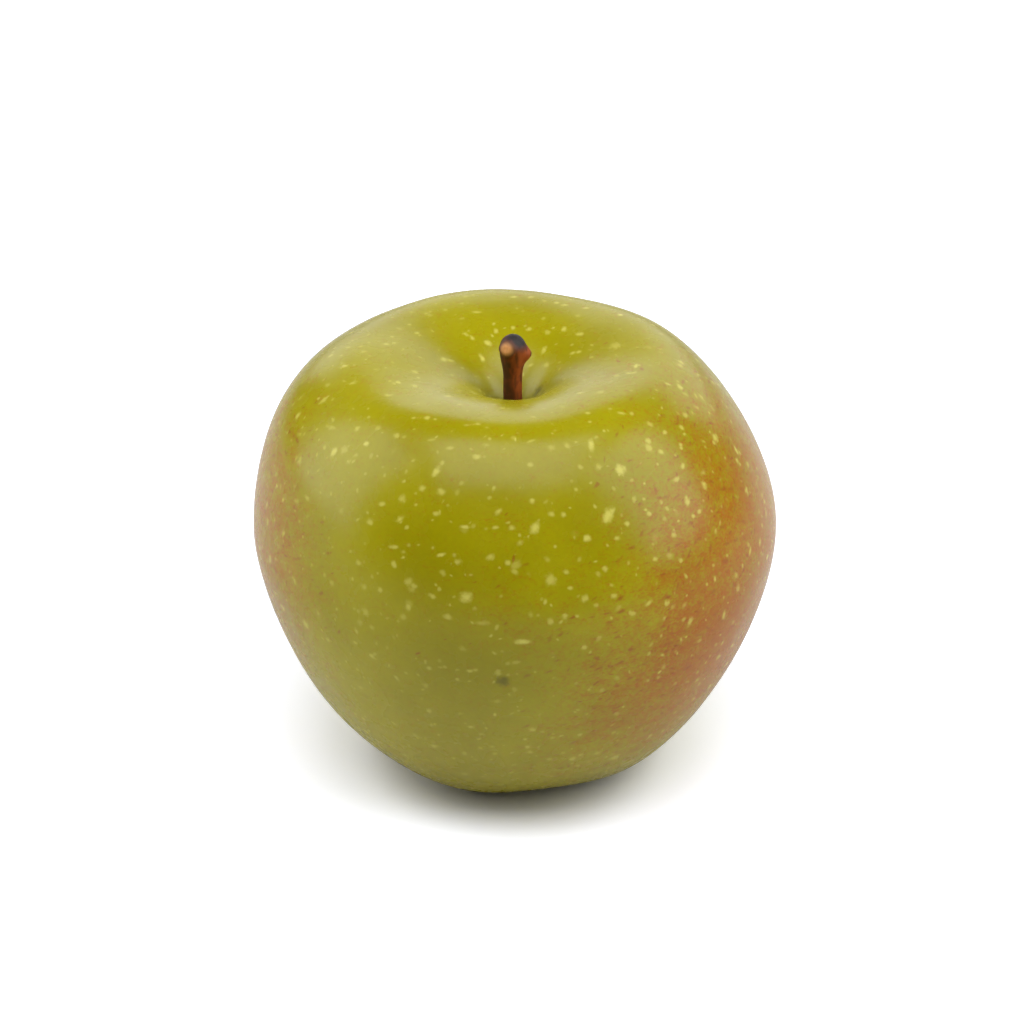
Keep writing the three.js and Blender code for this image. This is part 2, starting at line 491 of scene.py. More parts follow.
RIGHT_FLECKS = (
    Mark(x=649, y=514, length=0.7, width=0.6),
    Mark(x=661, y=452, length=0.9, width=0.6),
    Mark(x=681, y=445, length=0.7, width=0.6),
    Mark(x=747, y=491, length=1.2, width=0.5, turn=-65),
    Mark(x=766, y=513, length=1.2, width=0.4, turn=-75),
    Mark(x=750, y=552, length=1.3, width=0.5, turn=70),
    Mark(x=724, y=615, length=1.4, width=0.6, turn=80),
    Mark(x=649, y=603, length=1.1, width=0.5, turn=30),
    Mark(x=666, y=603, length=0.8, width=0.5, turn=80),
    Mark(x=648, y=441, length=0.9, width=0.7),
    Mark(x=683, y=466, length=1.0, width=0.6, turn=60),
    Mark(x=704, y=484, length=0.9, width=0.7),
    Mark(x=760, y=542, length=1.1, width=0.5, turn=75),
    Mark(x=674, y=535, length=0.8, width=0.7),
    Mark(x=655, y=559, length=0.8, width=0.6),
)
SHOULDER_FLECKS = (
    Mark(x=636, y=366, length=1.5, width=0.5, turn=75, kind=MarkKind.BRIGHT),
    Mark(x=631, y=373, length=1.4, width=0.4, turn=5, kind=MarkKind.BRIGHT),
    Mark(x=681, y=362, length=0.9, width=0.7, kind=MarkKind.BRIGHT),
    Mark(x=557, y=303, length=0.8, width=0.6),
    Mark(x=564, y=305, length=1.0, width=0.6),
    Mark(x=417, y=333, length=0.7, width=0.6),
    Mark(x=386, y=344, length=0.8, width=0.6),
    Mark(x=465, y=334, length=0.9, width=0.6),
    Mark(x=414, y=418, length=0.6, width=0.5),
    Mark(x=478, y=424, length=0.7, width=0.5),
    Mark(x=588, y=413, length=0.7, width=0.5),
    Mark(x=621, y=413, length=0.9, width=0.5),
    Mark(x=668, y=384, length=0.9, width=0.5),
    Mark(x=696, y=396, length=0.9, width=0.5, turn=-60),
)
HOLLOW_MARKS = (
    Mark(x=472, y=338, length=0.7, width=0.8),
    Mark(x=488, y=343, length=1.1, width=0.8, turn=-30, kind=MarkKind.BRIGHT),
    Mark(x=496, y=331, length=0.6, width=1.0),
    Mark(x=513, y=328, length=0.6, width=0.8),
    Mark(x=482, y=358, length=1.3, width=0.6, turn=-70, kind=MarkKind.BRIGHT),
    Mark(x=544, y=350, length=1.3, width=0.6, turn=70),
    Mark(x=564, y=329, length=0.7, width=1.1),
    Mark(x=573, y=353, length=0.7, width=0.6),
    Mark(x=580, y=334, length=1.1, width=0.8, turn=-30),
    Mark(x=586, y=308, length=0.9, width=0.6),
    Mark(x=477, y=312, length=1.2, width=0.5),
    Mark(x=514, y=297, length=1.0, width=0.6),
    Mark(x=502, y=408, length=0.9, width=0.4, turn=-30),
    Mark(x=525, y=405, length=0.9, width=0.4, kind=MarkKind.FAINT),
    Mark(x=467, y=425, length=0.8, width=0.5, kind=MarkKind.FAINT),
    # painted shade: a dark mark on the hollow's wall just right of the stem's foot, where shadow falls
    Mark(x=538, y=391, length=1.8, width=1.2, turn=20, kind=MarkKind.BRUISE_AND_SHADE),
)
LOW_MARKS = (
    Mark(x=429, y=668, length=0.8, width=0.6),
    Mark(x=445, y=667, length=0.6, width=0.5, kind=MarkKind.FAINT),
    Mark(x=470, y=671, length=0.9, width=0.5),
    Mark(x=471, y=727, length=0.9, width=0.5),
    Mark(x=481, y=734, length=0.8, width=0.6, kind=MarkKind.FAINT),
    Mark(x=528, y=747, length=0.9, width=0.7),
    Mark(x=552, y=738, length=0.7, width=0.6, kind=MarkKind.FAINT),
    Mark(x=503, y=681, length=1.7, width=1.7, kind=MarkKind.BRUISE_AND_SHADE),
)


@dataclass(frozen=True)
class Patch:
    """A patch of blush: its middle, how far it reaches along each axis, and how strong it is there."""

    middle: Point
    reach: Point
    strength: float


@dataclass(frozen=True)
class Scatter:
    """Small marks strewn over the skin, at most one to each cell of it."""

    spacing: float
    shortest: float
    longest: float
    slimmest: float
    roundest: float
    level: float = 0.0


@dataclass(frozen=True)
class SkinFinish:
    """Waxy apple skin: olive drifting to straw, a mottled blush, pale flecks, and russet at both ends."""

    leaf: Colour = (0.298, 0.260, 0.0005, 1.0)
    straw: Colour = (0.340, 0.302, 0.002, 1.0)
    blush: Colour = (0.350, 0.090, 0.004, 1.0)
    dash: Colour = (0.265, 0.056, 0.007, 1.0)
    fleck: Colour = (0.580, 0.530, 0.095, 1.0)
    # the dark of the bruise marks and the grain, and of the painted shade beside the stem's foot
    dark_speck_and_shade: Colour = (0.075, 0.062, 0.006, 1.0)
    hollow: Colour = (0.500, 0.470, 0.150, 1.0)
    russet: Colour = (0.230, 0.150, 0.045, 1.0)
    patches: tuple[Patch, ...] = (
        Patch(middle=(37, -15, 38), reach=(44, 46, 42), strength=0.85),
        Patch(middle=(20, -29, 22), reach=(30, 26, 28), strength=0.34),
        Patch(middle=(-40, -4, 37), reach=(26, 40, 36), strength=0.72),
        Patch(middle=(22, 34, 36), reach=(38, 32, 34), strength=0.45),
        Patch(middle=(0, -38, 43), reach=(10, 9, 10), strength=0.22),
    )
    flecks: Scatter = Scatter(spacing=5.0, shortest=0.7, longest=1.8, slimmest=0.5, roundest=1.0)
    freckles: Scatter = Scatter(spacing=2.5, shortest=0.5, longest=1.2, slimmest=0.5, roundest=1.0)
    dashes: Scatter = Scatter(spacing=1.7, shortest=0.7, longest=1.7, slimmest=0.25, roundest=0.45, level=0.7)
    drift_size: float = 16.0
    drift_edge: Span = (0.3, 0.7)
    streak_size: float = 1.8
    streak_squash: Point = (1, 1, 0.25)
    hollow_edge: Span = (12, 5)
    hollow_streaks: float = 6.0
    hollow_depth: float = 0.25
    eye_edge: Span = (11, 6)
    eye_streaks: float = 5.0
    eye_depth: float = 0.8
    patch_edge: Span = (1.0, 0.25)
    patch_drift: float = 0.35
    patch_drift_size: float = 12.0
    stain_squash: Point = (1, 1, 1.6)
    stain_edge: Span = (0.0, 1.3)
    stain_depth: float = 0.92
    blotch_size: float = 2.6
    speckle_size: float = 0.5
    speckle_share: float = 1.9
    dash_share: float = 1.6
    dash_depth: float = 0.7
    ragged_size: float = 0.6
    raggedness: float = 1.5
    placed_edge: Span = (1.7, 0.25)
    strewn_edge: Span = (1.4, 0.25)
    strewn_cut: Span = (0.42, 0.34)
    faintest: float = 0.45
    fleck_share: float = 0.25
    fleck_share_behind: float = 0.45
    behind_edge: Span = (0.12, -0.05)
    freckle_share: float = 0.8
    freckle_depth: float = 0.75
    grain_size: float = 0.7
    grain_level: float = 0.4
    grain_depth: float = 0.22
    grain_height: float = 0.03
    grain_strength: float = 0.4
    roughness: float = 0.27
    sheen_size: float = 3.0
    sheen_change: float = 0.14
    specular: float = 0.28

    def material(self, fruit: "Fruit") -> bpy.types.Material:
        """Makes the skin.

        Args:
            fruit: The fruit, whose sizes say where its hollows are.

        Returns:
            The material.
        """
        material = bpy.data.materials.new("waxy_skin")
        board = Board(material)
        place = board.place()
        facing = board.facing()
        blushing = self._blushing(board, place)
        grain = board.cloud(place, self.grain_size)
        colour = self._ground(board, place, fruit)
        colour = board.mix(self._stain(board, place, blushing), colour, self.blush)
        dashes = self._scattered(board, place, facing, self.dashes, blushing * self.dash_share)
        colour = board.mix(dashes * self.dash_depth, colour, self.dash)
        pale, dark = self._marked(board, place, facing)
        colour = board.mix(pale, colour, self.fleck)
        # the dark marks include painted shade: a painted shadow in the stem hollow
        colour = board.mix(dark, colour, self.dark_speck_and_shade)
        colour = board.mix((grain - self.grain_level) * self.grain_depth, colour, self.dark_speck_and_shade)
        bump = board.add("ShaderNodeBump", {}, {
            "Strength": self.grain_strength,
            "Distance": self.grain_height * MM,
            "Height": grain + pale,
        })
        board.finish({
            "Base Color": colour,
            "Roughness": self.roughness + board.ripple(place, self.sheen_size) * self.sheen_change,
            "Specular IOR Level": self.specular,
            "Normal": bump,
        })
        return material

    def _ground(self, board: Board, place: Wire, fruit: "Fruit") -> Wire:
        """The green under everything, with a pale stem hollow and a russet eye."""
        drift = board.ease(board.cloud(place, self.drift_size), *self.drift_edge)
        ground = board.mix(drift, self.leaf, self.straw)
        from_axis = board.measure("LENGTH", board.vector("MULTIPLY", place, (1, 1, 0)))
        height = board.add("ShaderNodeSeparateXYZ", {}, {0: place}, "Z")
        streaks = board.cloud(board.vector("MULTIPLY", place, self.streak_squash), self.streak_size)
        upper = board.ease(height, fruit.widest_height, fruit.cavity_floor)
        hollow = board.ease(from_axis + streaks * self.hollow_streaks, *self.hollow_edge) * upper
        ground = board.mix(hollow * self.hollow_depth, ground, self.hollow)
        eye = board.ease(from_axis + streaks * self.eye_streaks, *self.eye_edge) * (1 - upper)
        return board.mix(eye * self.eye_depth, ground, self.russet)

    def _blushing(self, board: Board, place: Wire) -> Wire:
        """How strongly the skin blushes at a point, before it is mottled."""
        total = board.ripple(place, self.patch_drift_size, detail=2) * self.patch_drift
        for patch in self.patches:
            middle = board.vector("SUBTRACT", place, patch.middle)
            out = board.measure("LENGTH", board.vector("DIVIDE", middle, patch.reach))
            total = total + board.ease(out, *self.patch_edge) * patch.strength
        return board.maths("MAXIMUM", total, 0.0)

    def _stain(self, board: Board, place: Wire, blushing: Wire) -> Wire:
        """How much of the blush's colour shows: blotches that join up where it is strong."""
        flat = board.vector("MULTIPLY", place, self.stain_squash)
        blotch = board.ripple(flat, self.blotch_size, detail=4)
        speckle = board.ripple(flat, self.speckle_size) * self.speckle_share
        return board.ease(blushing + blotch + speckle, *self.stain_edge) * self.stain_depth

    def _ragged(self, board: Board, place: Wire) -> Wire:
        """What makes the edge of a mark ragged."""
        return board.ripple(place, self.ragged_size) * self.raggedness

    def _scattered(
        self, board: Board, place: Wire, facing: Wire, marks: Scatter, share: Wire | float
    ) -> Wire:
        """Soft ellipses strewn over the skin.

        Args:
            board: Where the nodes go.
            place: The point that is shaded.
            facing: The surface's direction there.
            marks: How far apart and how big the ellipses are.
            share: The share of the cells that have one.

        Returns:
            0 between the ellipses, and up to 1 in the strongest of them.
        """
        inputs = {"Vector": place, "Scale": 1 / marks.spacing}
        cell = board.add("ShaderNodeTexVoronoi", {"voronoi_dimensions": "3D"}, inputs, "Position")
        lot = board.add("ShaderNodeTexWhiteNoise", {"noise_dimensions": "3D"}, {"Vector": cell})
        draw = board.add("ShaderNodeSeparateColor", {}, {"Color": cell.output("Color")})
        offset = board.vector("SUBTRACT", place, cell)
        chance = board.vector("SUBTRACT", lot.output("Color"), (0.5, 0.5, 0.5 - marks.level))
        heading = board.vector("NORMALIZE", board.vector("CROSS_PRODUCT", facing, chance))
        beside = board.vector("CROSS_PRODUCT", facing, heading)
        half_length = (marks.shortest + draw ** 2 * (marks.longest - marks.shortest)) / 2
        slim = marks.slimmest + draw.output("Green") * (marks.roundest - marks.slimmest)
        along = board.measure("DOT_PRODUCT", offset, heading) / half_length
        across = board.measure("DOT_PRODUCT", offset, beside) / (half_length * slim)
        out = (along ** 2 + across ** 2) ** 0.5 + self._ragged(board, place)
        depth = board.maths("ABSOLUTE", board.measure("DOT_PRODUCT", offset, facing))
        near = board.ease(depth / marks.spacing, *self.strewn_cut)
        chosen = board.maths("LESS_THAN", lot.output("Value"), share)
        strength = self.faintest + draw.output("Blue") * (1 - self.faintest)
        return board.ease(out, *self.strewn_edge) * near * chosen * strength

    def _marked(self, board: Board, place: Wire, facing: Wire) -> tuple[Wire, Wire]:
        """How much of a pale fleck and how much of a dark mark is at a point; the dark marks are a bruise and
        painted shade in the stem hollow.
        """
        offset = board.add("ShaderNodeAttribute", {"attribute_name": MARK_OFFSET}, {}, "Vector")
        strength = board.add("ShaderNodeAttribute", {"attribute_name": MARK_STRENGTH}, {}, "Fac")
        out = board.measure("LENGTH", offset) + self._ragged(board, place)
        placed = board.ease(out, *self.placed_edge)
        pale = placed * board.maths("MAXIMUM", strength, 0.0)
        dark = placed * board.maths("MAXIMUM", 0.0 - strength, 0.0)
        towards = board.measure("DOT_PRODUCT", facing, tuple(-Viewpoint().forward))
        share = self.fleck_share + board.ease(towards, *self.behind_edge) * self.fleck_share_behind
        strewn = self._scattered(board, place, facing, self.flecks, share)
        freckled = self._scattered(board, place, facing, self.freckles, self.freckle_share)
        freckled = freckled * self.freckle_depth
        pale = board.maths("MAXIMUM", pale, board.maths("MAXIMUM", strewn, freckled))
        return pale, dark


@dataclass(frozen=True)
class Fruit:
    """The fruit: one body of revolution that growth has made uneven, and the marks on its skin."""

    widest_radius: float = 40.0
    widest_height: float = 37.5
    crest_radius: float = 21.6
    crest_height: float = 65.5
    base_radius: float = 15.0
    cavity_floor: float = 53.0
    basin_depth: float = 9.0
    cavity_rise: float = 8.5
    cavity_roll: float = 8.7
    shoulder_reach: float = 10.7
    shoulder_drop: float = 9.5
    flank_fall: float = 10.6
    flank_reach: float = 13.8
    base_roll: float = 6.5
    basin_rise: float = 3.5
    socket_radius: float = 1.72
    socket_depth: float = 8.5
    tube_radius: float = 3.4
    tube_depth: float = 5.0
    lobes: int = 5
    lobe_angle: float = math.radians(104)
    base_groove: float = 0.8
    base_flat: float = 0.28
    base_lobe_height: float = 16.0
    crest_wave: float = 0.22
    rib_share: float = 0.004
    shoulder_lean: float = -1.55
    stem_lean: float = -0.5
    lean_top: float = 61.0
    swell_height: float = 0.2
    swell_size: float = 22.0
    dimple_height: float = 0.05
    dimple_size: float = 7.0
    smooth_height: float = 6.0
    smooth_radius: float = 6.0
    mesh_step: float = 0.625
    columns: int = 420
    mark_margin: float = 0.95
    finish: SkinFinish = SkinFinish()
    marks: tuple[Mark, ...] = (
        LEFT_FLECKS + FRONT_FLECKS + RIGHT_FLECKS + SHOULDER_FLECKS + HOLLOW_MARKS + LOW_MARKS
    )

    @property
    def socket_floor(self) -> float:
        """How high the bottom of the stem's socket is."""
        return self.cavity_floor - self.socket_depth

    def outline(self) -> np.ndarray:
        """Half of the section, as radius and height, from the eye's tube round the flank to the socket."""
        tube_top = self.basin_depth + self.tube_depth
        start = (0, tube_top)
        tube_edge = (self.tube_radius, tube_top)
        tube_mouth = (self.tube_radius, self.basin_depth)
        base = (self.base_radius, 0)
        widest = (self.widest_radius, self.widest_height)
        crest = (self.crest_radius, self.crest_height)
        socket_mouth = (self.socket_radius, self.cavity_floor)
        socket_edge = (self.socket_radius, self.socket_floor)
        basin_turns = (
            (self.tube_radius, self.basin_depth - self.basin_rise),
            (self.base_radius - self.base_roll, 0),
        )
        flank_turns = (
            (self.base_radius + self.flank_reach, 0),
            (self.widest_radius, self.widest_height - self.flank_fall),
        )
        shoulder_turns = (
            (self.widest_radius, self.widest_height + self.shoulder_drop),
            (self.crest_radius + self.shoulder_reach, self.crest_height),
        )
        cavity_turns = (
            (self.crest_radius - self.cavity_roll, self.crest_height),
            (self.socket_radius, self.cavity_floor + self.cavity_rise),
        )
        stretches = (
            (start, tube_edge),
            (tube_edge, tube_mouth),
            (tube_mouth, *basin_turns, base),
            (base, *flank_turns, widest),
            (widest, *shoulder_turns, crest),
            (crest, *cavity_turns, socket_mouth),
            (socket_mouth, socket_edge),
            (socket_edge, (0, self.socket_floor)),
        )
        return np.vstack([even_steps(stretch, self.mesh_step) for stretch in stretches])

    def lean_share(self, height: np.ndarray) -> np.ndarray:
        """How much of its full lean the fruit has: none at its widest, all of it above the shoulders."""
        return smoothstep(height, self.widest_height, self.lean_top)

    def grown(self, points: np.ndarray) -> np.ndarray:
        """Crowns round the eye with faint ribs above them, and shoulders that lean to one side.

        Args:
            points: Points of the plain body of revolution.

        Returns:
            The same points after growth.
        """
        x, y, z = np.moveaxis(points, -1, 0)
        radius = np.hypot(x, y)
        crown = np.cos(self.lobes * (np.arctan2(y, x) - self.lobe_angle))
        outer = smoothstep(radius, self.socket_radius, self.crest_radius)
        below = 1 - smoothstep(z, 0, self.base_lobe_height)
        underside = smoothstep(radius, self.tube_radius, self.base_radius) * below
        crest = outer * smoothstep(z, self.widest_height, self.crest_height)
        rib = 1 + self.rib_share * outer * crown
        lean = self.lean_share(z) * (self.stem_lean + (self.shoulder_lean - self.stem_lean) * outer)
        raised = underside * (self.base_groove * (1 - crown) / 2 - self.base_flat)
        raised = raised + crest * self.crest_wave * crown
        return np.stack([x * rib + lean, y * rib, np.maximum(0, z + raised)], axis=-1)

    def uneven(self, rings: np.ndarray) -> np.ndarray:
        """Slow swells and faint dimples along the normal, away from where it stands and its hollows.

        Args:
            rings: Points by ring and column.

        Returns:
            The same points, moved.
        """
        up = np.gradient(rings, axis=0)
        round_it = np.roll(rings, -1, axis=1) - np.roll(rings, 1, axis=1)
        normal = np.cross(round_it, up)
        normal /= np.linalg.norm(normal, axis=-1, keepdims=True)
        swell = np.array([noise.noise(Vector(point / self.swell_size)) for point in rings.reshape(-1, 3)])
        dimple = np.array([noise.noise(Vector(point / self.dimple_size)) for point in rings.reshape(-1, 3)])
        height = (self.swell_height * swell + self.dimple_height * dimple).reshape(rings.shape[:2])
        radius = np.hypot(rings[..., 0], rings[..., 1])
        free = smoothstep(rings[..., 2], 0, self.smooth_height)
        free = free * smoothstep(radius, self.tube_radius, self.tube_radius + self.smooth_radius)
        return rings + normal * (height * free)[..., None]

    def skin(self) -> Skin:
        """The whole surface. The first column is at the back, where the layout's seam shows least."""
        outline = self.outline()
        angle = FULL_TURN * (SEAM_TURN + np.arange(self.columns) / self.columns)
        radius = outline[1:, 0, None]
        height = outline[1:, 1, None] + 0 * angle
        plain = np.stack([radius * np.cos(angle), radius * np.sin(angle), height], axis=-1)
        low = (0, 0, outline[0, 1])
        high = (float(self.stem_lean * self.lean_share(self.socket_floor)), 0, self.socket_floor)
        return Skin(low=low, rings=self.uneven(self.grown(plain)), high=high)

    def place_marks(self, mesh: bpy.types.Mesh, skin: Skin, view: Viewpoint) -> None:
        """Stores, at each vertex near a mark, its place in the mark's own ellipse and the mark's strength.

        Args:
            mesh: The fruit's mesh.
            skin: The points that it was made of.
            view: The viewpoint that the marks' pixels belong to.
        """
        points = skin.points()
        tree = BVHTree.FromPolygons([Vector(point) for point in points], skin.faces())
        offsets = np.tile([0.0, 0.0, NO_MARK], (len(points), 1))
        strengths = np.zeros(len(points))
        nearest = np.full(len(points), np.inf)
        owners = np.zeros(len(points), dtype=int)
        for number, mark in enumerate(self.marks, start=1):
            middle, normal, _, _ = tree.ray_cast(view.eye(), view.ray(mark.x, mark.y))
            level = (view.right - normal * view.right.dot(normal)).normalized()
            heading = Matrix.Rotation(math.radians(mark.turn), 3, normal) @ level
            beside = normal.cross(heading)
            away = points - np.array(middle)
            along = away @ np.array(heading)
            across = away @ np.array(beside)
            inside = np.abs(along) < mark.length / 2 + self.mark_margin
            inside &= np.abs(across) < mark.width / 2 + self.mark_margin
            inside &= np.abs(away @ np.array(normal)) < mark.length + self.mark_margin
            scaled = np.stack([2 * along / mark.length, 2 * across / mark.width, 0 * along], axis=-1)
            distance = np.linalg.norm(scaled, axis=-1)
            taken = inside & (distance < nearest)
            offsets[taken] = scaled[taken]
            strengths[taken] = mark.kind.value
            nearest[taken] = distance[taken]
            owners[taken] = number
        ends = np.array([edge.vertices for edge in mesh.edges])
        between = (owners[ends[:, 0]] != owners[ends[:, 1]]) & owners[ends].all(axis=1)
        seam = np.unique(ends[between])
        strengths[seam[nearest[seam] > 1]] = 0
        mesh.attributes.new(MARK_OFFSET, "FLOAT_VECTOR", "POINT").data.foreach_set("vector", offsets.ravel())
        mesh.attributes.new(MARK_STRENGTH, "FLOAT", "POINT").data.foreach_set("value", strengths)

    def build(self, view: Viewpoint) -> bpy.types.Object:
        """Makes the fruit.

        Args:
            view: The viewpoint that its marks' pixels belong to.

        Returns:
            The piece.
        """
        skin = self.skin()
        mesh = mesh_of("apple_fruit", [skin])
        self.place_marks(mesh, skin, view)
        return place_piece(mesh, self.finish.material(self), "fruit")


@dataclass(frozen=True)
class Knob:
    """A swelling on the stem: where it is, how far it stands out, and how far it reaches up and round."""

    height: float
    angle: float
    rise: float
    up: float
    round_it: float

    def out(self, height: np.ndarray, angle: np.ndarray) -> np.ndarray:
        """How far a point of the stem is from the knob's middle, 1 where the knob falls away."""
        aside = np.arctan2(np.sin(angle - self.angle), np.cos(angle - self.angle))
        return np.hypot((height - self.height) / self.up, aside / self.round_it)


@dataclass(frozen=True)
class BarkFinish:
    """Dry bark with painted light and shade: orange-brown on the side towards the light and dark on the
    other, darker towards its foot in the socket, with a dark head and a fresh orange scar.
    """

    # painted shade on the bark's shadowed side and at its foot; also darkens the furrows
    shade: Colour = (0.060, 0.017, 0.004, 1.0)
    # painted light: the lit side's orange-brown, which is also the side bud's colour
    lit_side_and_bud: Colour = (0.330, 0.068, 0.012, 1.0)
    red: Colour = (0.160, 0.028, 0.009, 1.0)
    head: Colour = (0.020, 0.015, 0.014, 1.0)
    plum: Colour = (0.070, 0.026, 0.020, 1.0)
    scar: Colour = (0.720, 0.330, 0.105, 1.0)
    scar_edge: Colour = (0.120, 0.045, 0.018, 1.0)
    # painted shade: the stem darkens below this height, down into the socket
    shade_fades_at: float = 63.5
    shade_below: float = 56.0
    ridge_squash: Point = (1, 1, 0.22)
    ridge_size: float = 0.55
    ridge_height: float = 0.08
    ridge_strength: float = 0.8
    blot_size: float = 1.3
    blot_relief: float = 0.6
    raggedness: float = 0.9
    # the direction that the painted light on the bark comes from
    sun: Point = (0.85, -0.45, 0.1)
    light_side_edge: Span = (-0.1, 0.9)
    red_edge: Span = (0.5, 0.62)
    red_depth: float = 0.6
    furrow_edge: Span = (0.55, 0.35)
    furrow_depth: float = 0.6
    shade_depth: float = 0.55
    bud_edge: Span = (1.6, 0.9)
    bud_depth: float = 0.7
    bud_tip_edge: Span = (0.6, 0.3)
    bud_tip_depth: float = 0.8
    plum_edge: Span = (2.5, 1.7)
    plum_depth: float = 0.8
    head_edge: Span = (1.9, 1.1)
    scar_raggedness: float = 0.35
    scar_border: Span = (1.35, 0.95)
    fresh_border: Span = (1.12, 0.35)
    fresh_depth: float = 1.25
    fresh_ridges: float = 0.7
    roughness: float = 0.55
    specular: float = 0.35

    def material(self, scar: Point, scar_radius: float, bud: Point, head: Point) -> bpy.types.Material:
        """Makes the bark.

        Args:
            scar: The middle of the parting scar.
            scar_radius: How far the scar's fresh wood reaches.
            bud: The tip of the side bud.
            head: The middle of the dark part of the head.

        Returns:
            The material.
        """
        material = bpy.data.materials.new("stem_bark")
        board = Board(material)
        place = board.place()
        ridges = board.cloud(board.vector("MULTIPLY", place, self.ridge_squash), self.ridge_size, detail=4)
        blots = board.cloud(place, self.blot_size)
        uneven = blots - 0.5
        # painted light and shade: the side facing the light direction is orange-brown, the other side dark
        towards_light = board.measure("DOT_PRODUCT", board.facing(), self.sun) + uneven * self.raggedness
        colour = board.mix(board.ease(towards_light, *self.light_side_edge), self.shade, self.lit_side_and_bud)
        colour = board.mix(board.ease(blots, *self.red_edge) * self.red_depth, colour, self.red)
        colour = board.mix(board.ease(ridges, *self.furrow_edge) * self.furrow_depth, colour, self.shade)
        height = board.add("ShaderNodeSeparateXYZ", {}, {0: place}, "Z")
        # painted shade: darker towards the stem's foot, down in the fruit's hollow
        low = board.ease(height, self.shade_fades_at, self.shade_below)
        colour = board.mix(low * self.shade_depth, colour, self.shade)
        from_bud = board.measure("DISTANCE", place, bud)
        colour = board.mix(board.ease(from_bud, *self.bud_edge) * self.bud_depth, colour, self.lit_side_and_bud)
        from_head = board.measure("DISTANCE", place, head) + uneven * self.raggedness
        colour = board.mix(board.ease(from_head, *self.plum_edge) * self.plum_depth, colour, self.plum)
        colour = board.mix(board.ease(from_head, *self.head_edge), colour, self.head)
        colour = board.mix(board.ease(from_bud, *self.bud_tip_edge) * self.bud_tip_depth, colour, self.head)
        from_scar = board.measure("DISTANCE", place, scar) + uneven * self.scar_raggedness
        out = from_scar / scar_radius
        colour = board.mix(board.ease(out, *self.scar_border), colour, self.scar_edge)
        fresh = board.ease(out, *self.fresh_border) * (self.fresh_depth - ridges * self.fresh_ridges)
        colour = board.mix(fresh, colour, self.scar)
        bump = board.add("ShaderNodeBump", {}, {
            "Strength": self.ridge_strength,
            "Distance": self.ridge_height * MM,
            "Height": ridges + blots * self.blot_relief,
        })
        board.finish({
            "Base Color": colour,
            "Roughness": self.roughness,
            "Specular IOR Level": self.specular,
            "Normal": bump,
        })
        return material


@dataclass(frozen=True)
class Stem:
    """The stem: a woody shaft in the fruit's socket, with a swollen head, a parting scar and a side bud."""

    fruit: Fruit
    radius: float = 1.42
    top: float = 69.0
    head_height: float = 66.8
    flare_height: float = 62.0
    head_radius: float = 2.0
    gap: float = 0.3
    scar: Knob = Knob(height=67.5, angle=-2.05, rise=0.42, up=1.3, round_it=0.75)
    bud: Knob = Knob(height=65.8, angle=0.0, rise=0.95, up=1.1, round_it=0.42)
    scar_rim: float = 0.1
    scar_dip: float = 0.12
    scar_fresh: float = 1.2
    scar_rim_at: float = 0.9
    scar_rim_width: float = 0.16
    scar_dip_width: float = 0.3
    dark_aside: float = 0.8
    dark_forward: float = 0.267
    dark_below: float = 0.4
    ridge_share: float = 0.05
    ridge_size: float = 0.9
    ridge_stretch: float = 4.0
    shaft_step: float = 0.22
    head_rows: int = 40
    columns: int = 80
    finish: BarkFinish = BarkFinish()

    def girth(self, height: np.ndarray, angle: np.ndarray) -> np.ndarray:
        """The radius at a height and an angle round the stem.

        Args:
            height: Heights above the floor.
            angle: Angles round the stem's axis.

        Returns:
            The radius at each.
        """
        flare = smoothstep(height, self.flare_height, self.head_height)
        shaft = self.radius + (self.head_radius - self.radius) * flare
        from_scar = self.scar.out(height, angle)
        plateau = self.scar.rise * np.exp(-(from_scar**4))
        rim = self.scar_rim * np.exp(-(((from_scar - self.scar_rim_at) / self.scar_rim_width) ** 2))
        dip = self.scar_dip * np.exp(-((from_scar / self.scar_dip_width) ** 2))
        bud = self.bud.rise * np.exp(-(self.bud.out(height, angle) ** 2))
        over_head = np.clip((height - self.head_height) / (self.top - self.head_height), 0, 1)
        return (shaft + plateau + rim - dip + bud) * np.sqrt(1 - over_head**2)

    def centre_x(self, height: np.ndarray) -> np.ndarray:
        """Where the stem's axis is, which leans with the fruit."""
        return self.fruit.stem_lean * self.fruit.lean_share(height)

    def at(self, height: np.ndarray, angle: np.ndarray) -> np.ndarray:
        """The points of the surface at heights and angles."""
        radius = self.girth(height, angle)
        return np.stack(
            [self.centre_x(height) + radius * np.cos(angle), radius * np.sin(angle), height + 0 * angle],
            axis=-1,
        )

    def skin(self) -> Skin:
        """The whole surface, with ridges along the bark."""
        foot = self.fruit.socket_floor + self.gap
        shaft = np.arange(foot, self.head_height, self.shaft_step)
        dome = np.sin(np.linspace(0, math.pi / 2, self.head_rows, endpoint=False))
        heights = np.concatenate([shaft, self.head_height + (self.top - self.head_height) * dome])[:, None]
        angle = FULL_TURN * (SEAM_TURN + np.arange(self.columns) / self.columns)
        rings = self.at(heights, angle + 0 * heights)
        axis = np.stack([self.centre_x(heights), 0 * heights, heights], axis=-1)
        pitch = np.array([1, 1, self.ridge_stretch]) * self.ridge_size
        ridged = rings.reshape(-1, 3) / pitch
        bumps = np.array([noise.noise(Vector(point)) for point in ridged]).reshape(rings.shape[:2])
        rings = axis + (rings - axis) * (1 + self.ridge_share * bumps)[..., None]
        rings[..., 2] = heights
        low = (float(self.centre_x(foot)), 0, foot)
        high = (float(self.centre_x(self.top)), 0, self.top)
        return Skin(low=low, rings=rings, high=high)

    def build(self) -> bpy.types.Object:
        """Makes the stem and returns it."""
        scar = tuple(self.at(np.array(self.scar.height), np.array(self.scar.angle)).tolist())
        bud = tuple(self.at(np.array(self.bud.height), np.array(self.bud.angle)).tolist())
        head_x = float(self.centre_x(self.top)) + self.dark_aside
        head = (head_x, -self.dark_forward, self.top - self.dark_below)
        material = self.finish.material(scar, self.scar_fresh, bud, head)
        return place_piece(mesh_of("apple_stem", [self.skin()]), material, "stem")


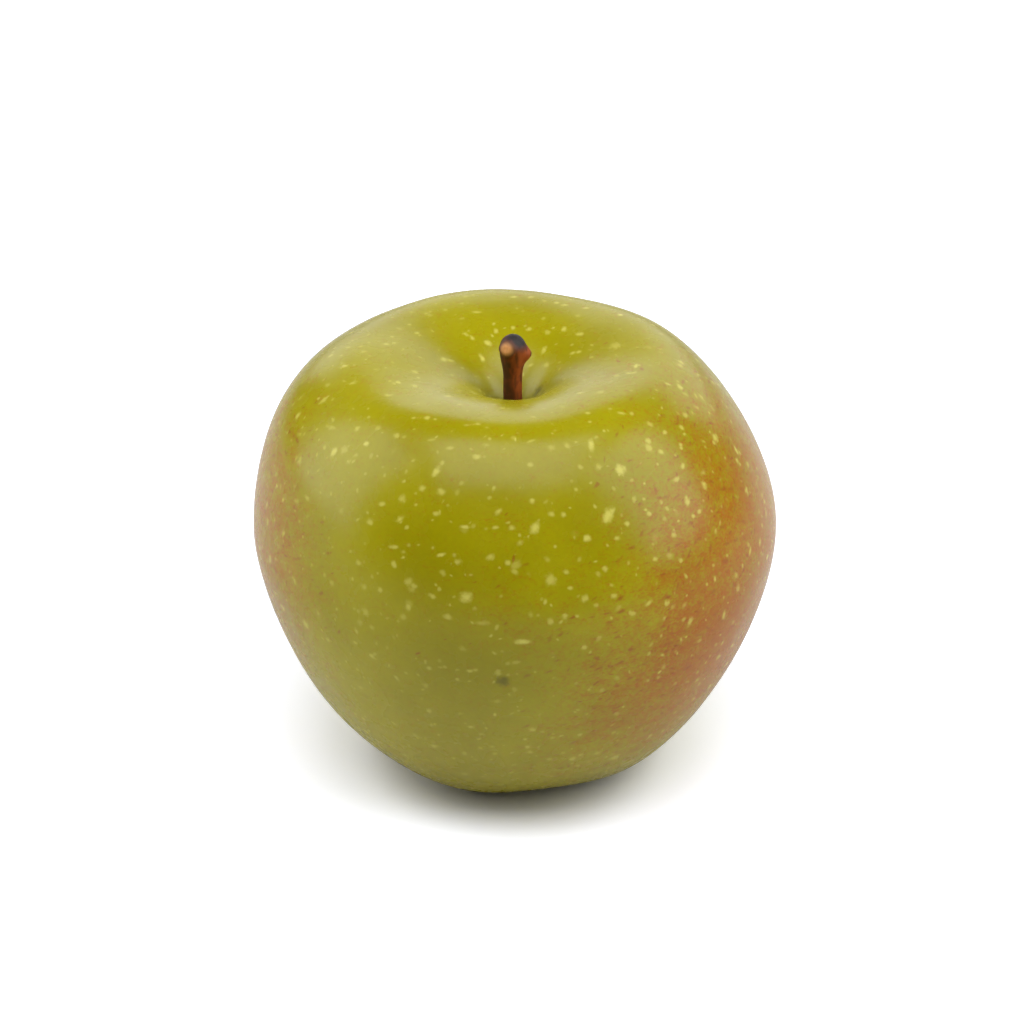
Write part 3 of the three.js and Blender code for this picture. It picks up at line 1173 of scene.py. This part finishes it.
@dataclass(frozen=True)
class SepalFinish:
    """Dried flower parts: grey-brown, paler where the down on them catches the light."""

    dry: Colour = (0.085, 0.050, 0.026, 1.0)
    downy: Colour = (0.290, 0.230, 0.150, 1.0)
    down_size: float = 0.6
    down_squash: Point = (1, 1, 0.4)
    down_edge: Span = (0.4, 0.7)
    down_height: float = 0.1
    down_strength: float = 0.7
    roughness: float = 0.85

    def material(self) -> bpy.types.Material:
        """Makes the dried parts' material and returns it."""
        material = bpy.data.materials.new("dried_sepal")
        board = Board(material)
        place = board.place()
        down = board.cloud(board.vector("MULTIPLY", place, self.down_squash), self.down_size, detail=4)
        colour = board.mix(board.ease(down, *self.down_edge), self.dry, self.downy)
        bump = board.add("ShaderNodeBump", {}, {
            "Strength": self.down_strength,
            "Distance": self.down_height * MM,
            "Height": down,
        })
        board.finish({"Base Color": colour, "Roughness": self.roughness, "Normal": bump})
        return material


@dataclass(frozen=True)
class Calyx:
    """The dried calyx: five curled sepals on a short cup in the eye's tube, with withered stamens in it."""

    fruit: Fruit
    cup_radius: float = 2.9
    cup_wall: float = 0.5
    cup_rim_below: float = 0.9
    cup_hollow: float = 2.6
    cup_bevel: float = 0.2
    cup_sides: int = 32
    gap: float = 0.3
    sepals: int = 5
    sepal_half_width: float = 1.45
    sepal_half_thickness: float = 0.2
    sepal_curl: float = 0.45
    sepal_root: tuple[float, float] = (2.1, 1.4)
    sepal_middle: tuple[float, float] = (2.2, -2.6)
    sepal_tip: tuple[float, float] = (4.7, -4.6)
    sepal_tip_share: float = 0.16
    sepal_rows: int = 26
    sepal_sides: int = 18
    ragged: float = 0.22
    ragged_pitch: float = 3.0
    seed_step: float = 7.0
    stamens: int = 13
    stamen_radius: float = 0.13
    anther_radius: float = 0.3
    anther_at: float = 0.93
    anther_share: float = 0.07
    anther_tip: float = 0.15
    stamen_reach: float = 3.2
    stamen_reaches: Span = (0.75, 1.1)
    stamen_roots: Span = (0.2, 0.55)
    stamen_spread: float = 0.9
    stamen_swing: float = 0.6
    stamen_sunk: float = 0.3
    stamen_rows: int = 14
    stamen_sides: int = 8
    finish: SepalFinish = SepalFinish()

    def _cup(self) -> Skin:
        """The cup, which fills the tube and is hollow underneath."""
        top = self.fruit.basin_depth + self.fruit.tube_depth - self.gap
        rim = self.fruit.basin_depth - self.cup_rim_below
        inner = self.cup_radius - self.cup_wall
        floor = rim + self.cup_hollow
        corners = (
            (self.cup_radius, top),
            (self.cup_radius, rim + self.cup_bevel),
            (inner + self.cup_bevel, rim),
            (inner, floor),
        )
        angle = -FULL_TURN * np.arange(self.cup_sides) / self.cup_sides
        rings = np.array([
            np.stack([radius * np.cos(angle), radius * np.sin(angle), height + 0 * angle], axis=-1)
            for radius, height in corners
        ])
        return Skin(low=(0, 0, top), rings=rings, high=(0, 0, floor))

    def _sepal(self, turn: float, seed: float) -> Skin:
        """One sepal: a thin ragged blade that hangs from the cup and curls outwards to a point.

        Args:
            turn: The angle round the eye that it points to.
            seed: What makes its edges differ from the others'.

        Returns:
            Its surface.
        """
        along = np.linspace(0, 1, self.sepal_rows)
        spine = bezier((self.sepal_root, self.sepal_middle, self.sepal_tip), along)
        run = np.gradient(spine, axis=0)
        run /= np.linalg.norm(run, axis=1, keepdims=True)
        taper = 1 + (self.sepal_tip_share - 1) * along**2
        angle = FULL_TURN * np.arange(self.sepal_sides) / self.sepal_sides
        ragged = np.array([
            [
                noise.noise(Vector((self.ragged_pitch * row, math.cos(step), seed + math.sin(step))))
                for step in angle
            ]
            for row in along
        ])
        across = self.sepal_half_width * taper[:, None] * np.cos(angle) * (1 + self.ragged * ragged)
        curl = self.sepal_curl * (across / self.sepal_half_width) ** 2
        thick = self.sepal_half_thickness * np.sin(angle) - curl + self.ragged * ragged
        out = spine[:, 0, None] - run[:, 1, None] * thick
        above = spine[:, 1, None] + run[:, 0, None] * thick + self.fruit.basin_depth
        rings = np.stack([
            out * math.cos(turn) - across * math.sin(turn),
            out * math.sin(turn) + across * math.cos(turn),
            above,
        ], axis=-1)
        return Skin(low=rings[0].mean(axis=0), rings=rings, high=rings[-1].mean(axis=0))

    def _stamen(self, random: np.random.Generator) -> Skin:
        """One withered stamen: a thin thread that hangs from the cup's floor, with a knob on its end."""
        turn = random.uniform(0, FULL_TURN)
        root = random.uniform(*self.stamen_roots) * (self.cup_radius - self.cup_wall)
        reach = self.stamen_reach * random.uniform(*self.stamen_reaches)
        floor = self.fruit.basin_depth - self.cup_rim_below + self.cup_hollow
        along = np.linspace(0, 1, self.stamen_rows)
        out = root + self.stamen_spread * random.uniform(0, 1) * along**2
        swing = turn + random.uniform(-self.stamen_swing, self.stamen_swing) * along
        knob = np.exp(-(((along - self.anther_at) / self.anther_share) ** 2))
        radius = self.stamen_radius + (self.anther_radius - self.stamen_radius) * knob
        angle = -FULL_TURN * np.arange(self.stamen_sides) / self.stamen_sides
        rings = np.stack([
            (out * np.cos(swing))[:, None] + radius[:, None] * np.cos(angle),
            (out * np.sin(swing))[:, None] + radius[:, None] * np.sin(angle),
            (floor + self.stamen_sunk - reach * along)[:, None] + 0 * angle,
        ], axis=-1)
        end = rings[-1].mean(axis=0) - (0, 0, self.anther_tip)
        return Skin(low=rings[0].mean(axis=0), rings=rings, high=end)

    def build(self) -> bpy.types.Object:
        """Makes the calyx and returns it."""
        random = np.random.default_rng(SEED)
        skins = [self._cup()]
        for index in range(self.sepals):
            turn = self.fruit.lobe_angle + FULL_TURN * index / self.sepals
            skins.append(self._sepal(turn, self.seed_step * index))
        for _ in range(self.stamens):
            skins.append(self._stamen(random))
        return place_piece(mesh_of("apple_calyx", skins), self.finish.material(), "calyx")


@dataclass(frozen=True)
class Softbox:
    """A soft lamp that faces the fruit. Its azimuth is from the viewer, to the right; sizes are in metres."""

    name: str
    azimuth: float
    elevation: float
    distance: float
    width: float
    height: float
    radiance: float

    def build(self, aim: Vector) -> None:
        """Makes the lamp, unseen by the camera itself."""
        turn = math.radians(self.azimuth)
        rise = math.radians(self.elevation)
        away = Vector((math.sin(turn) * math.cos(rise), -math.cos(turn) * math.cos(rise), math.sin(rise)))
        lamp = bpy.data.lights.new(self.name, "AREA")
        lamp.shape = "RECTANGLE"
        lamp.size = self.width
        lamp.size_y = self.height
        lamp.energy = self.radiance * math.pi * self.width * self.height
        stand = bpy.data.objects.new(self.name, lamp)
        stand.location = aim + away * self.distance
        stand.rotation_euler = (-away).to_track_quat("-Z", "Y").to_euler()
        stand.visible_camera = False
        bpy.context.scene.collection.objects.link(stand)


@dataclass(frozen=True)
class Studio:
    """A pale floor that fades to white, with a painted shadow round the fruit's foot, soft lamps overhead and
    at both sides, and a white surround.
    """

    floor_radius: float = 3.0
    floor_sides: int = 96
    floor_colour: Colour = (0.78, 0.78, 0.78, 1.0)
    floor_seen: Colour = (1.36, 1.39, 1.53, 1.0)
    # painted shadow: the floor's shown colour close round the fruit's foot
    painted_contact_shadow: Colour = (0.85, 0.85, 0.87, 1.0)
    contact_start: float = 0.020
    contact_end: float = 0.036
    contact_squeeze: float = 1.35
    glow_start: float = 0.18
    glow_end: float = 0.5
    surround: Colour = (1.0, 1.0, 1.0, 1.0)
    gloom: float = 0.02
    aim_height: float = 0.0375
    lamps: tuple[Softbox, ...] = (
        Softbox("top_lamp", azimuth=0, elevation=76, distance=0.6, width=0.56, height=0.5, radiance=3.5),
        Softbox("left_lamp", azimuth=-95, elevation=28, distance=0.6, width=0.45, height=0.6, radiance=3.0),
        Softbox("right_lamp", azimuth=80, elevation=32, distance=0.6, width=0.45, height=0.55, radiance=3.4),
        Softbox("back_lamp", azimuth=172, elevation=18, distance=0.9, width=1.5, height=0.5, radiance=1.45),
    )

    def _floor(self) -> None:
        """The floor: matt and pale, shown brighter than it lights the fruit, and darkened by a painted
        contact shadow round where the fruit stands.
        """
        turns = [FULL_TURN * side / self.floor_sides for side in range(self.floor_sides)]
        points = [Vector((math.cos(turn), math.sin(turn), 0)) * self.floor_radius for turn in turns]
        mesh = bpy.data.meshes.new("floor")
        mesh.from_pydata(points, [], [list(range(self.floor_sides))])
        material = bpy.data.materials.new("pale_floor")
        board = Board(material)
        spot = board.add("ShaderNodeTexCoord", {}, {}, "Object")
        away = board.measure("LENGTH", spot)
        under = board.measure("LENGTH", board.vector("MULTIPLY", spot, (self.contact_squeeze, 1, 1)))
        # painted contact shadow: the floor is shown darker within a few centimetres of the fruit, squeezed in
        # from the sides
        shown = board.mix(
            board.ease(under, self.contact_start, self.contact_end),
            self.painted_contact_shadow,
            self.floor_seen,
        )
        lit = board.add("ShaderNodeBsdfDiffuse", {}, {"Color": shown})
        white = board.add("ShaderNodeEmission", {}, {"Color": self.surround})
        far = board.ease(away, self.glow_start, self.glow_end)
        picture = board.add("ShaderNodeMixShader", {}, {0: far, 1: lit, 2: white})
        bounce = board.add("ShaderNodeBsdfDiffuse", {}, {"Color": self.floor_colour})
        seen = board.add("ShaderNodeLightPath", {}, {}, "Is Camera Ray")
        floor_shader = board.add("ShaderNodeMixShader", {}, {0: seen, 1: bounce, 2: picture})
        board.add("ShaderNodeOutputMaterial", {}, {"Surface": floor_shader})
        mesh.materials.append(material)
        floor = bpy.data.objects.new("floor", mesh)
        bpy.context.scene.collection.objects.link(floor)

    def _surround(self) -> None:
        """The world: white to look at, and nearly dark as a light."""
        world = bpy.data.worlds.new("surround")
        board = Board(world)
        seen = board.add("ShaderNodeLightPath", {}, {}, "Is Camera Ray")
        dark = board.add("ShaderNodeBackground", {}, {"Color": self.surround, "Strength": self.gloom})
        bright = board.add("ShaderNodeBackground", {}, {"Color": self.surround, "Strength": 1.0})
        shown = board.add("ShaderNodeMixShader", {}, {0: seen, 1: dark, 2: bright})
        board.add("ShaderNodeOutputWorld", {}, {"Surface": shown})
        bpy.context.scene.world = world

    def build(self) -> None:
        """Makes the floor, the lamps and the surround, and shows colours as they are."""
        self._floor()
        self._surround()
        for lamp in self.lamps:
            lamp.build(Vector((0, 0, self.aim_height)))
        bpy.context.scene.view_settings.view_transform = "Standard"


def main() -> None:
    """Builds the camera, the apple's pieces and the studio round them."""
    logging.basicConfig(level=logging.INFO, format="%(name)s: %(message)s")
    view = Viewpoint()
    view.build()
    fruit = Fruit()
    for piece in (fruit.build(view), Stem(fruit).build(), Calyx(fruit).build()):
        log.info("%s has %d faces", piece.name, len(piece.data.polygons))
    Studio().build()


if __name__ == "__main__":
    main()
